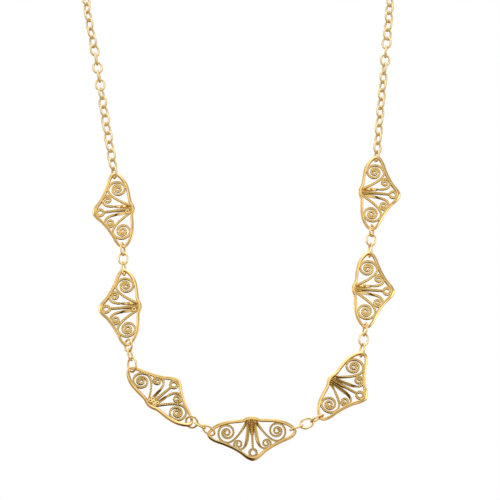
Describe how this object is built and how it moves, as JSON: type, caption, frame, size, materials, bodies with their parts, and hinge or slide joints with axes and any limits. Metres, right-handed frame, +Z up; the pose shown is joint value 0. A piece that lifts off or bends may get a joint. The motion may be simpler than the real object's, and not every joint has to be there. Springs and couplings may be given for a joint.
{
  "type": "drapery necklace",
  "caption": "Necklace of openwork filigree scroll plaques joined by small links, hung in a swag from a trace chain that closes behind the neck.",
  "frame": {"origin": "where the necklace rests on the nape, at the middle of the clasp", "axes": "+Z up as worn, the front plaques face -Y, and +X is to the right as seen from the front"},
  "size_m": [0.0886, 0.1035, 0.1466],
  "materials": {
    "plaque_gold": "polished yellow gold, 18 carat, with milled edges",
    "link_gold": "polished yellow gold, 18 carat",
    "chain_gold": "polished yellow gold, 18 carat"
  },
  "bodies": {
    "root": {"plaque_1": "plaque_gold", "plaque_2": "plaque_gold", "plaque_3": "plaque_gold", "plaque_4": "plaque_gold", "plaque_5": "plaque_gold", "plaque_6": "plaque_gold", "plaque_7": "plaque_gold", "link_12_a": "link_gold", "link_12_b": "link_gold", "link_12_c": "link_gold", "link_23_a": "link_gold", "link_23_b": "link_gold", "link_23_c": "link_gold", "link_34_a": "link_gold", "link_34_b": "link_gold", "link_34_c": "link_gold", "link_45_a": "link_gold", "link_45_b": "link_gold", "link_45_c": "link_gold", "link_56_a": "link_gold", "link_56_b": "link_gold", "link_56_c": "link_gold", "link_67_a": "link_gold", "link_67_b": "link_gold", "link_67_c": "link_gold", "chain_left": "chain_gold", "chain_right": "chain_gold", "clasp": "chain_gold", "clasp_end_ring": "chain_gold"}
  },
  "joints": []
}
